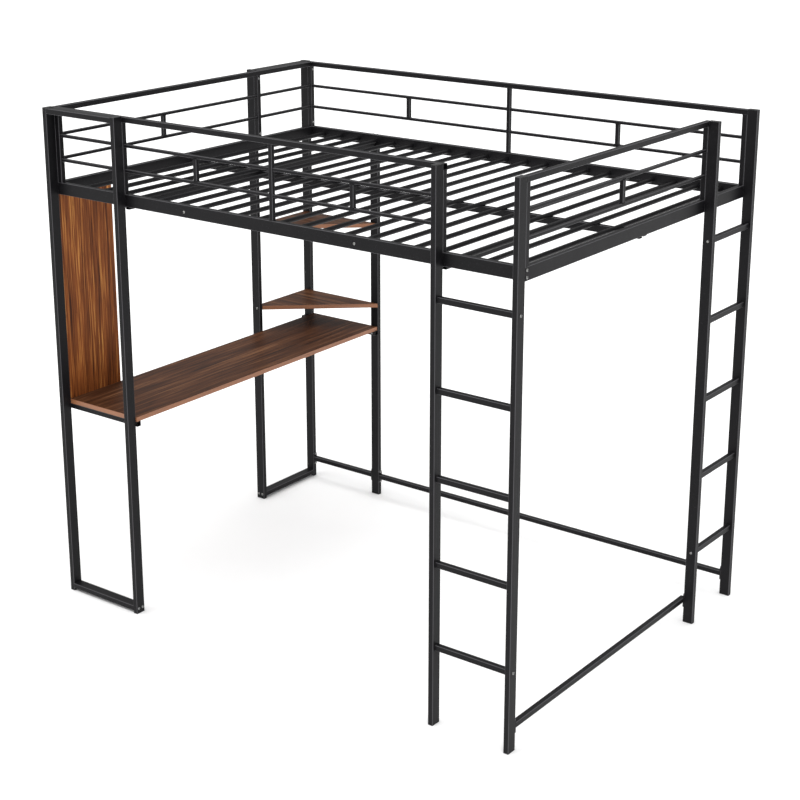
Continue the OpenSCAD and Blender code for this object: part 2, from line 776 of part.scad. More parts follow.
// Threaded plugs welded inside the ends of the bars that are bolted end on
module plug_x(x, y, z, sy, sz) translate([x, y + wall, z + wall]) cube([end_plug_l, sy - 2 * wall, sz - 2 * wall]);

module plug_y(x, y, z, sx, sz) translate([x + wall, y, z + wall]) cube([sx - 2 * wall, end_plug_l, sz - 2 * wall]);

module end_plugs() {
  color(zinc) difference() {
    union() {
      for (x = [tube, desk_post_x - end_plug_l]) plug_x(x, 0, leg_bar_z, post_w, tube);
      for (y = [shelf_post_y + tube, inner_back - end_plug_l]) plug_y(left_x, y, leg_bar_z, post_w, tube);
      for (x = [tube, bed_l - tube - end_plug_l]) plug_x(x, post_w, rail_z, tube, rail_h);
      for (x = [0, bed_l - tube]) plug_y(x, inner_back - end_plug_l, rail_z, tube, rail_h);
      plug_y(beam_x[0] - half, inner_back - end_plug_l, beam_z, tube, beam_h);
      plug_y(0, inner_back - end_plug_l, guard_z, tube, tube);
      for (z = [rung_z, rung_z + (rung_n - 1) * rung_pitch]) {
        for (x = [ladder_post_x + tube, bed_l - tube - end_plug_l])
          plug_x(x, (post_w - tube) / 2, z, tube, tube);
        for (y = [ladder_post_y + tube, inner_back - end_plug_l])
          plug_y(bed_l + (post_w - tube) / 2, y, z, tube, tube);
      }
      for (k = bolted_slats, y = [inner_front, inner_back - end_plug_l])
        translate([slat_end + k * slat_pitch, y, slat_z]) rotate([-90, 0, 0])
          cylinder(d = slat_d - 2 * slat_wall, h = end_plug_l);
      translate([back_desk_x + wall, inner_back + wall, rail_z - nut_h])
        cube([post_w - 2 * wall, tube - 2 * wall, nut_h]);
    }
    for (b = concat(leg_bolts, corner_bolts, beam_post_bolt, back_tie_bolt, front_rung_bolts,
                    right_rung_bolts, slat_bolts, stand_bolts))
      translate(b[0]) rotate(turn(b[1])) cylinder(d = bolt_d, h = b[2] + end_plug_l - 1);
  }
}

module weld_nuts() {
  color(zinc) for (b = concat(post_bolts, tab_bolts, cross_bolts, floor_bolts, through_bolts,
                              front_guard_bolts, front_tie_bolts, left_guard_bolts, back_guard_bolts,
                              right_guard_bolts, bar_bolts_front, bar_bolts_back)) nut(b);
}

board_bolt_list = concat(panel_desk_bolts, shelf_bolts(shelf_low_z), shelf_bolts(shelf_high_z));

module board_inserts() {
  color(zinc) for (b = board_bolt_list) insert(b);
}

module frame_bolts() {
  color(zinc) {
    for (b = concat(leg_bolts, corner_bolts, post_bolts, tab_bolts, beam_post_bolt, cross_bolts,
                    stand_bolts, slat_bolts, floor_bolts, through_bolts, bar_bolts_front,
                    bar_bolts_back)) bolt(b);
  }
}

module guard_bolts() {
  color(zinc) for (b = concat(front_guard_bolts, front_tie_bolts, left_guard_bolts, back_guard_bolts,
                              back_tie_bolt, right_guard_bolts)) bolt(b);
}

module ladder_bolts() {
  color(zinc) for (b = concat(front_rung_bolts, right_rung_bolts)) bolt(b);
}

module board_bolts() {
  color(zinc) {
    for (b = board_bolt_list) bolt(b);
    for (b = desk_screws) translate(b[0]) {
      translate([0, 0, -head_h]) cylinder(d = head_d - 2, h = head_h);
      cylinder(d = bolt_d - 1, h = tube + screw_l);
    }
  }
}

in_frame() post_front_left();
in_frame() post_front_desk();
in_frame() post_front_ladder();
in_frame() post_front_right();
in_frame() post_right_ladder();
in_frame() post_back_right();
in_frame() post_left_shelf();
in_frame() post_back_left();
in_frame() post_back_desk();
in_frame() front_leg_top_rail();
in_frame() front_leg_bottom_bar();
in_frame() left_leg_top_rail();
in_frame() left_leg_bottom_bar();
in_frame() bed_rail_front();
in_frame() bed_rail_back();
in_frame() bed_rail_left();
in_frame() bed_rail_right();
in_frame() centre_rail_left();
in_frame() centre_rail_middle();
in_frame() centre_rail_right();
in_frame() cross_beam_left();
in_frame() cross_beam_right();
in_frame() beam_tabs();
in_frame() crossing_plates();
in_frame() slats();
in_frame() front_guard_top_rail();
in_frame() front_guard_uprights();
in_frame() front_guard_bars();
in_frame() back_guard_top_rail();
in_frame() back_guard_uprights();
in_frame() back_guard_bars();
in_frame() left_guard_top_rail();
in_frame() left_guard_uprights();
in_frame() left_guard_bars();
in_frame() right_guard_top_rail();
in_frame() right_guard_uprights();
in_frame() right_guard_bars();
in_frame() front_ladder_rungs();
in_frame() right_ladder_rungs();
in_frame() floor_rail_back_left();
in_frame() floor_rail_back_right();
in_frame() floor_rail_right();
in_frame() floor_rail_flanges();
in_frame() desk_top();
in_frame() desk_bar_front();
in_frame() desk_bar_back();
in_frame() side_panel();
in_frame() shelf_lower();
in_frame() shelf_upper();
in_frame() edge_bands();
in_frame() post_top_caps();
in_frame() post_foot_caps();
in_frame() tube_pegs();
in_frame() end_plugs();
in_frame() weld_nuts();
in_frame() board_inserts();
in_frame() frame_bolts();
in_frame() guard_bolts();
in_frame() ladder_bolts();
in_frame() board_bolts();
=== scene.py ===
"""Loft bed with a desk under it: the looks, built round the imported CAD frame."""

import json
import math

import bmesh
import bpy
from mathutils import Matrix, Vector

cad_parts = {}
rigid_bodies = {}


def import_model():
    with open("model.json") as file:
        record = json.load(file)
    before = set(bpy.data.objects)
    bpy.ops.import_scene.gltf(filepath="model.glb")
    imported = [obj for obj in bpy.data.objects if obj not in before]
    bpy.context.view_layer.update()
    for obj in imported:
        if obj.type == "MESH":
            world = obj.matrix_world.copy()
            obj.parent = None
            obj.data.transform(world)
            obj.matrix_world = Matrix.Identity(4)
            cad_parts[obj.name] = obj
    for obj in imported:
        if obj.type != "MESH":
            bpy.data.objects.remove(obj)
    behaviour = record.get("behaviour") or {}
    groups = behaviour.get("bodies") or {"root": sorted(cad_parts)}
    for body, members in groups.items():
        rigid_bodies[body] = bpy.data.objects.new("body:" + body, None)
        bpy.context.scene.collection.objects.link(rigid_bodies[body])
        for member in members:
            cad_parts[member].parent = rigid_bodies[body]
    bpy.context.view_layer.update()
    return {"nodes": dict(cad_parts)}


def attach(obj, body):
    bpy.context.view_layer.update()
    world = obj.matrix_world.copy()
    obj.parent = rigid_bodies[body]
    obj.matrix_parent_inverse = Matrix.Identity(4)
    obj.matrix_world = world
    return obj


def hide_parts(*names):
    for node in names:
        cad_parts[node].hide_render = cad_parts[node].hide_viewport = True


for start_object in list(bpy.data.objects):
    bpy.data.objects.remove(start_object)
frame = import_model()
MM = 0.001

# ---------------------------------------------------------------------------
# Camera. It stands in front of the right ladder, a little above the guards,
# and looks down on the bed from far enough off that the posts nearly stay upright.
camera = bpy.data.objects.new("camera", bpy.data.cameras.new("camera"))
bpy.context.scene.collection.objects.link(camera)
camera.location = (3.52695, -4.67613, 2.80213)
camera.rotation_euler = (math.radians(73.168), 0.0, math.radians(36.896))
camera.data.sensor_width = 36.0
camera.data.lens = 76.96
camera.data.shift_x = 0.0010
camera.data.shift_y = -0.0905
bpy.context.scene.camera = camera
bpy.context.scene.view_settings.view_transform = "Standard"


# ---------------------------------------------------------------------------
# Floor and light. A white studio: a pale painted floor, white walls all round, a whole
# ceiling of soft light, and two weaker soft lights low down, on the right and in front.
# Matt white floor paint: a dead flat white, very faintly mottled.
def linear(hex_colour):
    """The linear colour of an sRGB hex value."""
    parts = [int(hex_colour[i : i + 2], 16) / 255 for i in (1, 3, 5)]
    return [c / 12.92 if c <= 0.04045 else ((c + 0.055) / 1.055) ** 2.4 for c in parts] + [1.0]


def add(tree, kind, settings=(), inputs=()):
    """Adds one node with its settings, its values and its links, and returns it."""
    made = tree.nodes.new(kind)
    for key, value in dict(settings).items():
        setattr(made, key, value)
    for key, value in dict(inputs).items():
        if isinstance(value, bpy.types.NodeSocket):
            tree.links.new(value, made.inputs[key])
        else:
            made.inputs[key].default_value = value
    return made


def new_material(name):
    """An empty node material and its tree."""
    made = bpy.data.materials.new(name)
    made.use_nodes = True
    made.node_tree.nodes.clear()
    return made, made.node_tree


MOTTLES_IN_A_METRE = 3.0
floor_paint, tree = new_material("matt_white_floor_paint")
place = add(tree, "ShaderNodeTexCoord")
mottle = add(
    tree,
    "ShaderNodeTexNoise",
    inputs={"Vector": place.outputs["Object"], "Scale": MOTTLES_IN_A_METRE},
)
tone = add(
    tree,
    "ShaderNodeMix",
    {"data_type": "RGBA"},
    {0: mottle.outputs["Fac"], 6: linear("#f6f6f6"), 7: linear("#fbfbfb")},
)
paint = add(tree, "ShaderNodeBsdfPrincipled", inputs={"Base Color": tone.outputs[2], "Roughness": 0.9})
add(tree, "ShaderNodeOutputMaterial", inputs={"Surface": paint.outputs[0]})

FLOOR_HALF = 40.0
floor_mesh = bpy.data.meshes.new("floor")
floor_mesh.from_pydata(
    [(x * FLOOR_HALF, y * FLOOR_HALF, 0.0) for x, y in ((-1, -1), (1, -1), (1, 1), (-1, 1))],
    [],
    [(0, 1, 2, 3)],
)
floor_mesh.materials.append(floor_paint)
floor = bpy.data.objects.new("floor", floor_mesh)
bpy.context.scene.collection.objects.link(floor)

world = bpy.data.worlds.new("white_studio")
bpy.context.scene.world = world
world.use_nodes = True
WALLS_SEEN = 1.0
WALLS_AS_LIGHT = 0.50
walls = world.node_tree.nodes["Background"]
walls.inputs["Color"].default_value = linear("#ffffff")
seen = add(world.node_tree, "ShaderNodeLightPath")
strength = add(
    world.node_tree,
    "ShaderNodeMapRange",
    inputs={
        "Value": seen.outputs["Is Camera Ray"],
        "To Min": WALLS_AS_LIGHT,
        "To Max": WALLS_SEEN,
    },
)
world.node_tree.links.new(strength.outputs[0], walls.inputs["Strength"])

for name, lean, heading, spread, power in (
    ("soft_ceiling", 10.0, 8.0, 90.0, 3.0),
    ("soft_side", 74.0, 75.0, 50.0, 0.5),
    ("soft_front", 76.0, -30.0, 50.0, 0.5),
):
    lamp_data = bpy.data.lights.new(name, "SUN")
    lamp_data.angle = math.radians(spread)
    lamp_data.energy = power
    lamp = bpy.data.objects.new(name, lamp_data)
    bpy.context.scene.collection.objects.link(lamp)
    lamp.rotation_euler = (math.radians(lean), 0.0, math.radians(heading))

# ---------------------------------------------------------------------------
# Leg frames, posts, rails, beams, guards and rungs. Rolled box tube of mild steel,
# 1.2 mm thick and 2 mm round at its corners, welded up, then powder coated in the oven.
# Polyester powder, satin black with a fine texture: a charcoal that is dead flat in the mass.
# Along the round corners of box tube a paler colour is painted in as a highlight, standing
# in for the light those corners catch. The real grain is about 0.4 mm, too fine to show,
# so it is drawn at 3 mm.
POWDER_GRAIN = 3 * MM
DUST_CLOUD = 90 * MM
SPECK_STARTS, SPECK_FULL = 0.62, 0.78
# How squarely a face looks along an axis: at CORNER_FULL it is well round a corner and the
# painted corner highlight is full, and at CORNER_ENDS it is flat and the painted highlight
# is gone.
CORNER_FULL, CORNER_ENDS = 0.90, 0.995


def powder_coat(name, paints_corner_highlight):
    """Black powder coat, with a painted highlight along the round corners of box tube, or without it
    for round steel.
    """
    made, tree = new_material(name)
    place = add(tree, "ShaderNodeTexCoord")
    grain = add(
        tree,
        "ShaderNodeTexNoise",
        inputs={"Vector": place.outputs["Object"], "Scale": 1 / POWDER_GRAIN, "Detail": 3.0},
    )
    cloud = add(
        tree,
        "ShaderNodeTexNoise",
        inputs={"Vector": place.outputs["Object"], "Scale": 1 / DUST_CLOUD, "Detail": 2.0},
    )
    speck = add(
        tree,
        "ShaderNodeMapRange",
        inputs={
            "Value": grain.outputs["Fac"],
            "From Min": SPECK_STARTS,
            "From Max": SPECK_FULL,
        },
    )
    depth = add(
        tree,
        "ShaderNodeMix",
        {"data_type": "RGBA"},
        {0: cloud.outputs["Fac"], 6: linear("#0d0d0f"), 7: linear("#171618")},
    )
    speckled = add(
        tree,
        "ShaderNodeMix",
        {"data_type": "RGBA"},
        {0: speck.outputs[0], 6: depth.outputs[2], 7: linear("#333235")},
    )
    colour = speckled.outputs[2]
    if paints_corner_highlight:
        facing = add(tree, "ShaderNodeNewGeometry")
        parts = add(tree, "ShaderNodeSeparateXYZ", inputs={0: facing.outputs["Normal"]})
        square_on = [
            add(tree, "ShaderNodeMath", {"operation": "ABSOLUTE"}, {0: part}).outputs[0]
            for part in parts.outputs
        ]
        squarest = square_on[0]
        for other in square_on[1:]:
            squarest = add(
                tree, "ShaderNodeMath", {"operation": "MAXIMUM"}, {0: squarest, 1: other}
            ).outputs[0]
        # Painted highlight: faces turned round the tube's corners are coloured the paler #5a595c, in
        # place of the light those corners catch.
        painted_corner_highlight = add(
            tree,
            "ShaderNodeMapRange",
            inputs={
                "Value": squarest,
                "From Min": CORNER_FULL,
                "From Max": CORNER_ENDS,
                "To Min": 1.0,
                "To Max": 0.0,
            },
        )
        colour = add(
            tree,
            "ShaderNodeMix",
            {"data_type": "RGBA"},
            {0: painted_corner_highlight.outputs[0], 6: speckled.outputs[2], 7: linear("#5a595c")},
        ).outputs[2]
    gloss = add(
        tree,
        "ShaderNodeMapRange",
        inputs={"Value": cloud.outputs["Fac"], "To Min": 0.36, "To Max": 0.50},
    )
    peel = add(
        tree,
        "ShaderNodeBump",
        inputs={"Strength": 0.35, "Distance": 0.12 * MM, "Height": grain.outputs["Fac"]},
    )
    coat = add(
        tree,
        "ShaderNodeBsdfPrincipled",
        inputs={
            "Base Color": colour,
            "Roughness": gloss.outputs[0],
            "IOR": 1.50,
            "Specular IOR Level": 0.13,
            "Normal": peel.outputs[0],
        },
    )
    add(tree, "ShaderNodeOutputMaterial", inputs={"Surface": coat.outputs[0]})
    return made


steel_black = powder_coat("satin_black_polyester_powder_coat", True)
round_steel_black = powder_coat("satin_black_polyester_powder_coat_on_round_steel", False)


def finish_slot(slot_name, finish):
    """Gives a finish to every CAD node whose material slot in the record has that name."""
    for cad_node in frame["nodes"].values():
        if cad_node.data.materials[0].name == slot_name:
            cad_node.data.materials[0] = finish


finish_slot("powder_coated_steel", steel_black)


# ---------------------------------------------------------------------------
# Slats. Round steel tube, 16 mm across and 1 mm thick, sawn to length and left open at
# both ends. They lie side by side across the bed on pegs welded to the front and back
# rails, all but the few that are bolted, and being round they get no painted corner highlight.
SAME_POINT = 0.001 * MM


def islands(node):
    """The separate solids of a CAD node, each as a list of its corners, in metres."""
    shape = bmesh.new()
    shape.from_mesh(frame["nodes"][node].data)
    bmesh.ops.remove_doubles(shape, verts=shape.verts, dist=SAME_POINT)
    found, seen = [], set()
    for start in shape.verts:
        if start in seen:
            continue
        seen.add(start)
        stack, corners = [start], []
        while stack:
            here = stack.pop()
            corners.append(here.co.copy())
            for edge in here.link_edges:
                there = edge.other_vert(here)
                if there not in seen:
                    seen.add(there)
                    stack.append(there)
        found.append(corners)
    shape.free()
    return found


def corner_box(corners):
    """Lowest and highest corner of a list of points."""
    return (
        Vector([min(c[i] for c in corners) for i in range(3)]),
        Vector([max(c[i] for c in corners) for i in range(3)]),
    )


def new_tree(name, sizes):
    """A geometry tree with a geometry, the named sizes and a finish going in, and its input node."""
    made = bpy.data.node_groups.new(name, "GeometryNodeTree")
    made.interface.new_socket("Geometry", in_out="INPUT", socket_type="NodeSocketGeometry")
    for label, kind in {**sizes, "Finish": "NodeSocketMaterial"}.items():
        made.interface.new_socket(label, in_out="INPUT", socket_type=kind)
    made.interface.new_socket("Geometry", in_out="OUTPUT", socket_type="NodeSocketGeometry")
    return made, made.nodes.new("NodeGroupInput")


def close_tree(tree, sizes, last):
    """Ends a geometry tree: the copies made real, dressed in the finish and handed out."""
    real = add(tree, "GeometryNodeRealizeInstances", inputs={"Geometry": last.outputs[0]})
    dressed = add(
        tree,
        "GeometryNodeSetMaterial",
        inputs={"Geometry": real.outputs[0], "Material": sizes.outputs["Finish"]},
    )
    add(tree, "NodeGroupOutput", inputs={"Geometry": dressed.outputs[0]})


def grown(name, seed_mesh, tree, values, finish):
    """Runs a geometry tree on a mesh and returns the result as a plain object."""
    values = {**values, "Finish": finish}
    seed = bpy.data.objects.new(name + "_seed", seed_mesh)
    bpy.context.scene.collection.objects.link(seed)
    live = seed.modifiers.new("tree", "NODES")
    live.node_group = tree
    for item in tree.interface.items_tree:
        if item.in_out == "INPUT" and item.name in values:
            live[item.identifier] = values[item.name]
    bpy.context.view_layer.update()
    dg = bpy.context.evaluated_depsgraph_get()
    mesh = bpy.data.meshes.new_from_object(seed.evaluated_get(dg))
    bpy.data.objects.remove(seed)
    mesh.materials.clear()
    mesh.materials.append(finish)
    piece = bpy.data.objects.new(name, mesh)
    bpy.context.scene.collection.objects.link(piece)
    return piece


tree, sizes = new_tree(
    "slat_row",
    {
        "Width": "NodeSocketFloat",
        "Length": "NodeSocketFloat",
        "Wall": "NodeSocketFloat",
        "Sides": "NodeSocketInt",
    },
)
outside_reach = add(
    tree, "ShaderNodeMath", {"operation": "MULTIPLY"}, {0: sizes.outputs["Width"], 1: 0.5}
)
inside_reach = add(
    tree,
    "ShaderNodeMath",
    {"operation": "SUBTRACT"},
    {0: outside_reach.outputs[0], 1: sizes.outputs["Wall"]},
)
outside, inside = (
    add(
        tree,
        "GeometryNodeCurvePrimitiveCircle",
        {"mode": "RADIUS"},
        {"Resolution": sizes.outputs["Sides"], "Radius": reach.outputs[0]},
    )
    for reach in (outside_reach, inside_reach)
)
rings = add(tree, "GeometryNodeJoinGeometry")
tree.links.new(outside.outputs[0], rings.inputs[0])
tree.links.new(inside.outputs[0], rings.inputs[0])
section = add(tree, "GeometryNodeFillCurve", {"mode": "TRIANGLES"}, {"Curve": rings.outputs[0]})
drawn = add(
    tree,
    "GeometryNodeExtrudeMesh",
    {"mode": "FACES"},
    {
        "Mesh": section.outputs[0],
        "Offset": (0.0, 0.0, 1.0),
        "Offset Scale": sizes.outputs["Length"],
        "Individual": False,
    },
)
near_end = add(tree, "GeometryNodeFlipFaces", inputs={"Mesh": section.outputs[0]})
tube = add(tree, "GeometryNodeJoinGeometry")
tree.links.new(drawn.outputs[0], tube.inputs[0])
tree.links.new(near_end.outputs[0], tube.inputs[0])
sealed = add(
    tree,
    "GeometryNodeMergeByDistance",
    inputs={"Geometry": tube.outputs[0], "Distance": 10 * SAME_POINT},
)
row = add(
    tree,
    "GeometryNodeInstanceOnPoints",
    inputs={
        "Points": sizes.outputs["Geometry"],
        "Instance": sealed.outputs[0],
        "Rotation": (math.radians(-90.0), 0.0, 0.0),
    },
)
close_tree(tree, sizes, row)

SLAT_WALL = 1.0 * MM
SLAT_SIDES = 24
slat_boxes = [corner_box(c) for c in islands("slats")]
low, high = slat_boxes[0]
slat_points = bpy.data.meshes.new("slat_points")
slat_points.from_pydata(
    [((lo.x + hi.x) / 2, lo.y, (lo.z + hi.z) / 2) for lo, hi in slat_boxes], [], []
)
slats = grown(
    "slat_tubes",
    slat_points,
    tree,
    {
        "Width": high.z - low.z,
        "Length": high.y - low.y,
        "Wall": SLAT_WALL,
        "Sides": SLAT_SIDES,
    },
    round_steel_black,
)
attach(slats, "root")
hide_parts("slats")

# ---------------------------------------------------------------------------
# Weld beads. Where a guard upright, a guard bar, a rung or a leg bar ends on another tube,
# a thin bead of weld runs round it. Faces that lie flush are ground flat before coating.
# A tube thicker than FLUSH_WIDTH has a face flush with the rail's, and its bead stays
# inside that face. BEAD is the bead's radius, and BEAD_SWELL the most it is multiplied by.
TUBE_CORNER = 2.0 * MM
BEAD = 2.0 * MM
BEAD_SINK = 0.5 * MM
BEAD_SWELL = 1.2
BEAD_SIDES = 6
BEAD_SEED = 7
FLUSH_WIDTH = 18.5 * MM
CORNER_STEPS = 3
QUARTERS = ((1, 1), (-1, 1), (-1, -1), (1, -1))
X, Y, Z = 0, 1, 2
welded = []
for side, flush in (("front", Y), ("back", Y), ("left", X), ("right", X)):
    welded.append((side + "_guard_uprights", Z, flush))
    welded.append((side + "_guard_bars", X if flush == Y else Y, None))
for side, long_axis in (("front", X), ("right", Y)):
    welded.append((side + "_ladder_rungs", long_axis, None))
for side, long_axis, flush in (("front", X, Y), ("left", Y, X)):
    for bar in ("top_rail", "bottom_bar"):
        welded.append((side + "_leg_" + bar, long_axis, flush))

bead_points, bead_edges = [], []
for node, long_axis, flush in welded:
    for corners in islands(node):
        lo, hi = corner_box(corners)
        across = [axis for axis in (X, Y, Z) if axis != long_axis]
        half = {axis: (hi[axis] - lo[axis]) / 2 - BEAD_SINK for axis in across}
        if flush is not None and min(hi[axis] - lo[axis] for axis in across) > FLUSH_WIDTH:
            half[flush] -= BEAD * BEAD_SWELL - BEAD_SINK
        for end in (lo[long_axis], hi[long_axis]):
            first = len(bead_points)
            for quarter in range(len(QUARTERS)):
                for step in range(CORNER_STEPS + 1):
                    turn = math.radians(90 * (quarter + step / CORNER_STEPS))
                    spot = [0.0, 0.0, 0.0]
                    spot[long_axis] = end
                    for axis, sign, part in zip(
                        across, QUARTERS[quarter], (math.cos(turn), math.sin(turn))
                    ):
                        spot[axis] = (
                            (lo[axis] + hi[axis]) / 2
                            + sign * (half[axis] - TUBE_CORNER)
                            + part * TUBE_CORNER
                        )
                    bead_points.append(spot)
            count = len(bead_points) - first
            bead_edges += [(first + i, first + (i + 1) % count) for i in range(count)]
bead_paths = bpy.data.meshes.new("bead_paths")
bead_paths.from_pydata(bead_points, bead_edges, [])

tree, sizes = new_tree(
    "weld_beads",
    {
        "Radius": "NodeSocketFloat",
        "Step": "NodeSocketFloat",
        "Swell": "NodeSocketFloat",
        "Seed": "NodeSocketInt",
    },
)
path = add(tree, "GeometryNodeMeshToCurve", inputs={"Mesh": sizes.outputs["Geometry"]})
stepped = add(
    tree,
    "GeometryNodeResampleCurve",
    {"mode": "LENGTH"},
    {"Curve": path.outputs[0], "Length": sizes.outputs["Step"]},
)
shrink = add(
    tree, "ShaderNodeMath", {"operation": "SUBTRACT"}, {0: 2.0, 1: sizes.outputs["Swell"]}
)
ripple = add(
    tree,
    "FunctionNodeRandomValue",
    {"data_type": "FLOAT"},
    {2: shrink.outputs[0], 3: sizes.outputs["Swell"], "Seed": sizes.outputs["Seed"]},
)
rippled = add(
    tree,
    "GeometryNodeSetCurveRadius",
    inputs={"Curve": stepped.outputs[0], "Radius": ripple.outputs[1]},
)
bead_round = add(
    tree,
    "GeometryNodeCurvePrimitiveCircle",
    {"mode": "RADIUS"},
    {"Resolution": BEAD_SIDES, "Radius": sizes.outputs["Radius"]},
)
bead = add(
    tree,
    "GeometryNodeCurveToMesh",
    inputs={"Curve": rippled.outputs[0], "Profile Curve": bead_round.outputs[0]},
)
close_tree(tree, sizes, bead)
beads = grown(
    "weld_beads",
    bead_paths,
    tree,
    {"Radius": BEAD, "Step": BEAD, "Swell": BEAD_SWELL, "Seed": BEAD_SEED},
    round_steel_black,
)
beads.data.polygons.foreach_set("use_smooth", [True] * len(beads.data.polygons))
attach(beads, "root")

# ---------------------------------------------------------------------------
# Caps. A moulded plug closes each post at the top and stands under it as its foot.
# Low-density polythene with a soft rounded edge, pushed in by hand.
# Moulded black polythene: a shade greyer than the steel, waxy, with a faint flow mottle.
FLOW_MARK = 8 * MM
cap_plastic, tree = new_material("moulded_black_polythene")
place = add(tree, "ShaderNodeTexCoord")
flow = add(
    tree,
    "ShaderNodeTexNoise",
    inputs={"Vector": place.outputs["Object"], "Scale": 1 / FLOW_MARK, "Detail": 2.0},
)
tone = add(
    tree,
    "ShaderNodeMix",
    {"data_type": "RGBA"},
    {0: flow.outputs["Fac"], 6: linear("#19191a"), 7: linear("#242425")},
)
gloss = add(
    tree,
    "ShaderNodeMapRange",
    inputs={"Value": flow.outputs["Fac"], "To Min": 0.44, "To Max": 0.60},
)
skin = add(
    tree,
    "ShaderNodeBump",
    inputs={"Strength": 0.25, "Distance": 0.2 * MM, "Height": flow.outputs["Fac"]},
)
plastic = add(
    tree,
    "ShaderNodeBsdfPrincipled",
    inputs={
        "Base Color": tone.outputs[2],
        "Roughness": gloss.outputs[0],
        "IOR": 1.51,
        "Normal": skin.outputs[0],
    },
)
add(tree, "ShaderNodeOutputMaterial", inputs={"Surface": plastic.outputs[0]})


def lofted(name, rings):
    """A closed mesh through rings of points, with a flat face on each end."""
    made = bmesh.new()
    rows = [[made.verts.new(p) for p in ring] for ring in rings]
    for low_row, high_row in zip(rows, rows[1:]):
        count = len(low_row)
        for i in range(count):
            j = (i + 1) % count
            made.faces.new((low_row[i], low_row[j], high_row[j], high_row[i]))
    made.faces.new(list(reversed(rows[0])))
    made.faces.new(rows[-1])
    bmesh.ops.recalc_face_normals(made, faces=made.faces)
    mesh = bpy.data.meshes.new(name)
    made.to_mesh(mesh)
    made.free()
    return mesh


SMALLEST_CORNER = 0.4 * MM
CAP_CORNER_STEPS = 4


def rounded_ring(width, deep, inset, level):
    """A rounded oblong, drawn in by inset, at a level above the tube's end."""
    corner = max(SMALLEST_CORNER, TUBE_CORNER - inset)
    ring = []
    for quarter, (x_sign, y_sign) in enumerate(QUARTERS):
        x = x_sign * (width / 2 - inset - corner)
        y = y_sign * (deep / 2 - inset - corner)
        for step in range(CAP_CORNER_STEPS + 1):
            turn = math.radians(90 * (quarter + step / CAP_CORNER_STEPS))
            ring.append((x + corner * math.cos(turn), y + corner * math.sin(turn), level))
    return ring


tree, sizes = new_tree("set_pieces", {"Part": "NodeSocketObject"})
part = add(tree, "GeometryNodeObjectInfo", inputs={"Object": sizes.outputs["Part"]})
outward = add(
    tree, "GeometryNodeInputNamedAttribute", {"data_type": "FLOAT_VECTOR"}, {"Name": "turn"}
)
aim = add(tree, "FunctionNodeEulerToRotation", inputs={0: outward.outputs[0]})
stretch = add(
    tree, "GeometryNodeInputNamedAttribute", {"data_type": "FLOAT_VECTOR"}, {"Name": "stretch"}
)
set_out = add(
    tree,
    "GeometryNodeInstanceOnPoints",
    inputs={
        "Points": sizes.outputs["Geometry"],
        "Instance": part.outputs["Geometry"],
        "Rotation": aim.outputs[0],
        "Scale": stretch.outputs[0],
    },
)
close_tree(tree, sizes, set_out)
set_pieces = tree


def set_out_parts(name, part_mesh, spots, turns, stretches, finish):
    """Copies of one small part at the given spots, as one piece."""
    points = bpy.data.meshes.new(name + "_points")
    points.from_pydata([tuple(s) for s in spots], [], [])
    for label, rows in (("turn", turns), ("stretch", stretches)):
        layer = points.attributes.new(label, "FLOAT_VECTOR", "POINT")
        layer.data.foreach_set("vector", [value for row in rows for value in row])
    part_object = bpy.data.objects.new(name + "_part", part_mesh)
    bpy.context.scene.collection.objects.link(part_object)
    piece = grown(name, points, set_pieces, {"Part": part_object, "Finish": finish}, finish)
    bpy.data.objects.remove(part_object)
    return piece


# The cap's outline, from the plug inside the tube up to its top: how far in it lies from
# the post's faces, and how high above the tube's end, both in mm.
CAP_OUTLINE = (
    (2.2, -11.0),
    (1.5, -9.0),
    (1.5, -0.02),
    (0.0, 0.0),
    (0.0, 1.0),
    (0.25, 1.6),
    (0.8, 1.9),
    (1.9, 2.0),
)
POST_WIDTH = 19 * MM
POST_DEEP = 38 * MM
CAP_THICK = 2 * MM
UNSTRETCHED = (1.0, 1.0, 1.0)
cap_mesh = lofted(
    "cap",
    [
        rounded_ring(POST_WIDTH, POST_DEEP, inset * MM, level * MM)
        for inset, level in CAP_OUTLINE
    ],
)
cap_mesh.polygons.foreach_set("use_smooth", [True] * len(cap_mesh.polygons))
for node, over in (("post_top_caps", True), ("post_foot_caps", False)):
    spots, turns = [], []
    for corners in islands(node):
        lo, hi = corner_box(corners)
        level = hi.z - CAP_THICK if over else lo.z + CAP_THICK
        spots.append(((lo.x + hi.x) / 2, (lo.y + hi.y) / 2, level))
        quarter_turn = math.radians(90.0) if hi.x - lo.x > hi.y - lo.y else 0.0
        turns.append((0.0 if over else math.pi, 0.0, quarter_turn))
    caps = set_out_parts(
        node + "_moulded", cap_mesh, spots, turns, [UNSTRETCHED] * len(spots), cap_plastic
    )
    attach(caps, "root")
    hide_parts(node)

# ---------------------------------------------------------------------------
# Bolts. M6 button-head socket bolts, cold headed, zinc plated and clear passivated,
# turned in with a 4 mm key from the outside of each joint.
# Bright zinc: a cool silver that flashes white, with a faint blue and straw cloudiness.
ZINC_BLOOM = 5 * MM
zinc, tree = new_material("clear_passivated_zinc_plate")
place = add(tree, "ShaderNodeTexCoord")
bloom = add(
    tree,
    "ShaderNodeTexNoise",
    inputs={"Vector": place.outputs["Object"], "Scale": 1 / ZINC_BLOOM, "Detail": 2.0},
)
tone = add(
    tree,
    "ShaderNodeMix",
    {"data_type": "RGBA"},
    {0: bloom.outputs["Fac"], 6: linear("#7d8289"), 7: linear("#98948b")},
)
gloss = add(
    tree,
    "ShaderNodeMapRange",
    inputs={"Value": bloom.outputs["Fac"], "To Min": 0.20, "To Max": 0.34},
)
plate = add(
    tree,
    "ShaderNodeBsdfPrincipled",
    inputs={"Base Color": tone.outputs[2], "Metallic": 1.0, "Roughness": gloss.outputs[0]},
)
add(tree, "ShaderNodeOutputMaterial", inputs={"Surface": plate.outputs[0]})
finish_slot("zinc_plated_steel", zinc)

HEAD_ACROSS = 10.5 * MM
HEAD_HIGH = 3 * MM
